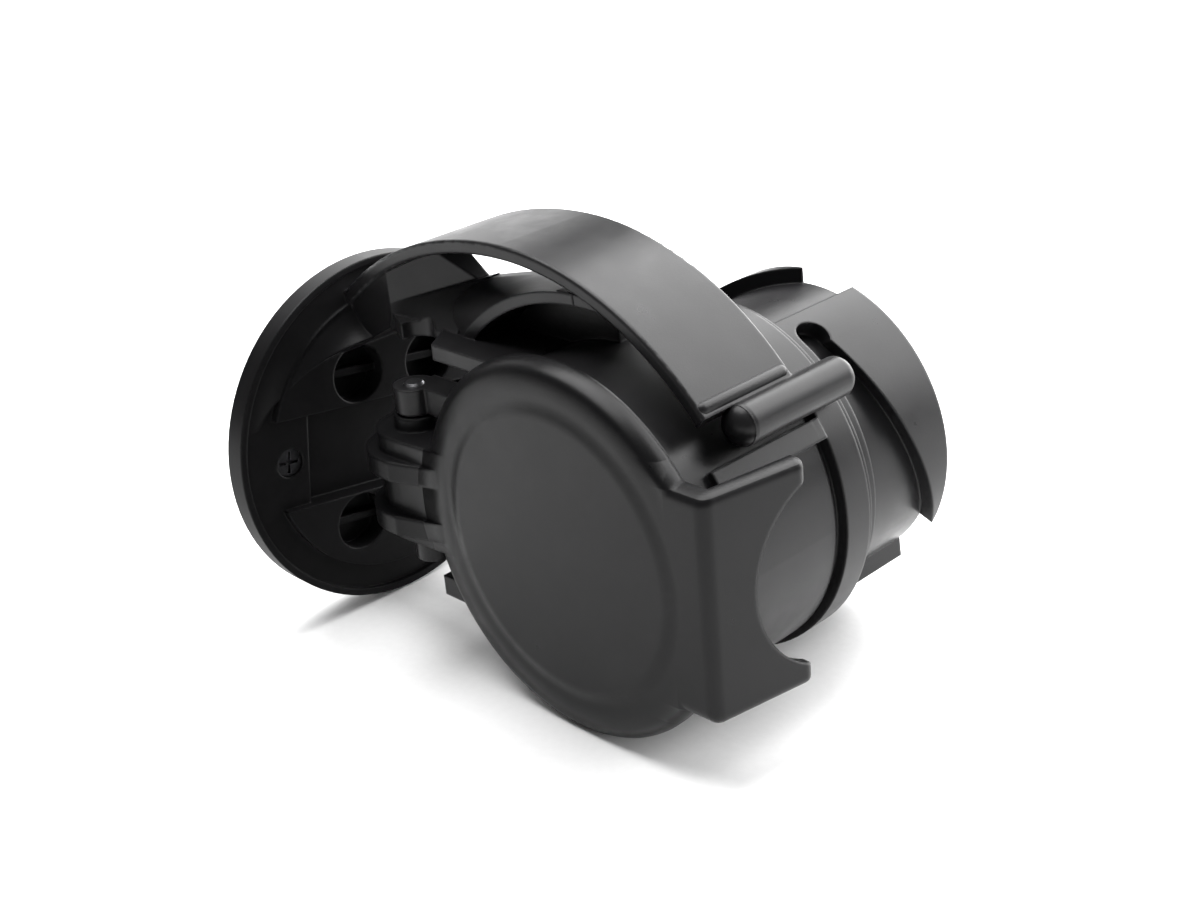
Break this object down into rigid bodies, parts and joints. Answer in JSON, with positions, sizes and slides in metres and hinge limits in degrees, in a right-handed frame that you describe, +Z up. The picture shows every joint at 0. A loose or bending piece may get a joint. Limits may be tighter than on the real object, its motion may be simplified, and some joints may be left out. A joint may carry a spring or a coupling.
{
  "type": "trailer plug adapter",
  "caption": "Short black trailer plug adapter: bayonet plug end with turning ring, socket end under a sprung hinged lid, with side flange, hood and grip strap.",
  "frame": {"origin": "centre of the socket's mouth, on the plug axis", "axes": "+Y along the plug axis towards the plug end, +X towards the lid's finger skirt, +Z up"},
  "size_m": [0.0882, 0.0681, 0.0647],
  "materials": {
    "body_plastic": "satin moulded",
    "lid_plastic": "satin moulded",
    "ring_plastic": "satin moulded",
    "cover_plastic": "satin moulded",
    "insert_plastic": "matt moulded",
    "plug_plastic": "matt moulded",
    "wire_plastic": "matt",
    "contact_brass": "turned",
    "gasket_rubber": "matt",
    "lid_rubber": "matt",
    "screw_steel": "zinc plated",
    "retainer_steel": "plain",
    "pin_steel": "plain",
    "spring_steel": "plain"
  },
  "bodies": {
    "body": {"housing": "body_plastic", "side_cover": "cover_plastic", "cover_gasket": "gasket_rubber", "side_cover_screws": "screw_steel", "socket_insert": "insert_plastic", "socket_contacts": "contact_brass", "socket_seal": "gasket_rubber", "clamp_screws": "screw_steel", "contact_plate": "insert_plastic", "plug_insert": "plug_plastic", "plug_pins": "contact_brass", "plug_gasket": "gasket_rubber", "plug_seal": "gasket_rubber", "ring_retainer": "retainer_steel", "link_wires": "wire_plastic", "hinge_pin": "pin_steel"},
    "lid": {"lid": "lid_plastic", "lid_seal": "lid_rubber", "lid_spring": "spring_steel"},
    "ring": {"bayonet_ring": "ring_plastic"}
  },
  "joints": [
    {"name": "lid_hinge", "type": "hinge", "parent": "body", "child": "lid", "pos_m": [-0.0338, 0.0025, 0], "axis": [0, 0, -1], "range_deg": [0, 105], "stiffness_Nm_per_rad": 0.02, "springref_deg": -28.65},
    {"name": "bayonet_turn", "type": "hinge", "parent": "body", "child": "ring", "pos_m": [0, 0.03, 0], "axis": [0, 1, 0], "range_deg": [0, 90]}
  ]
}
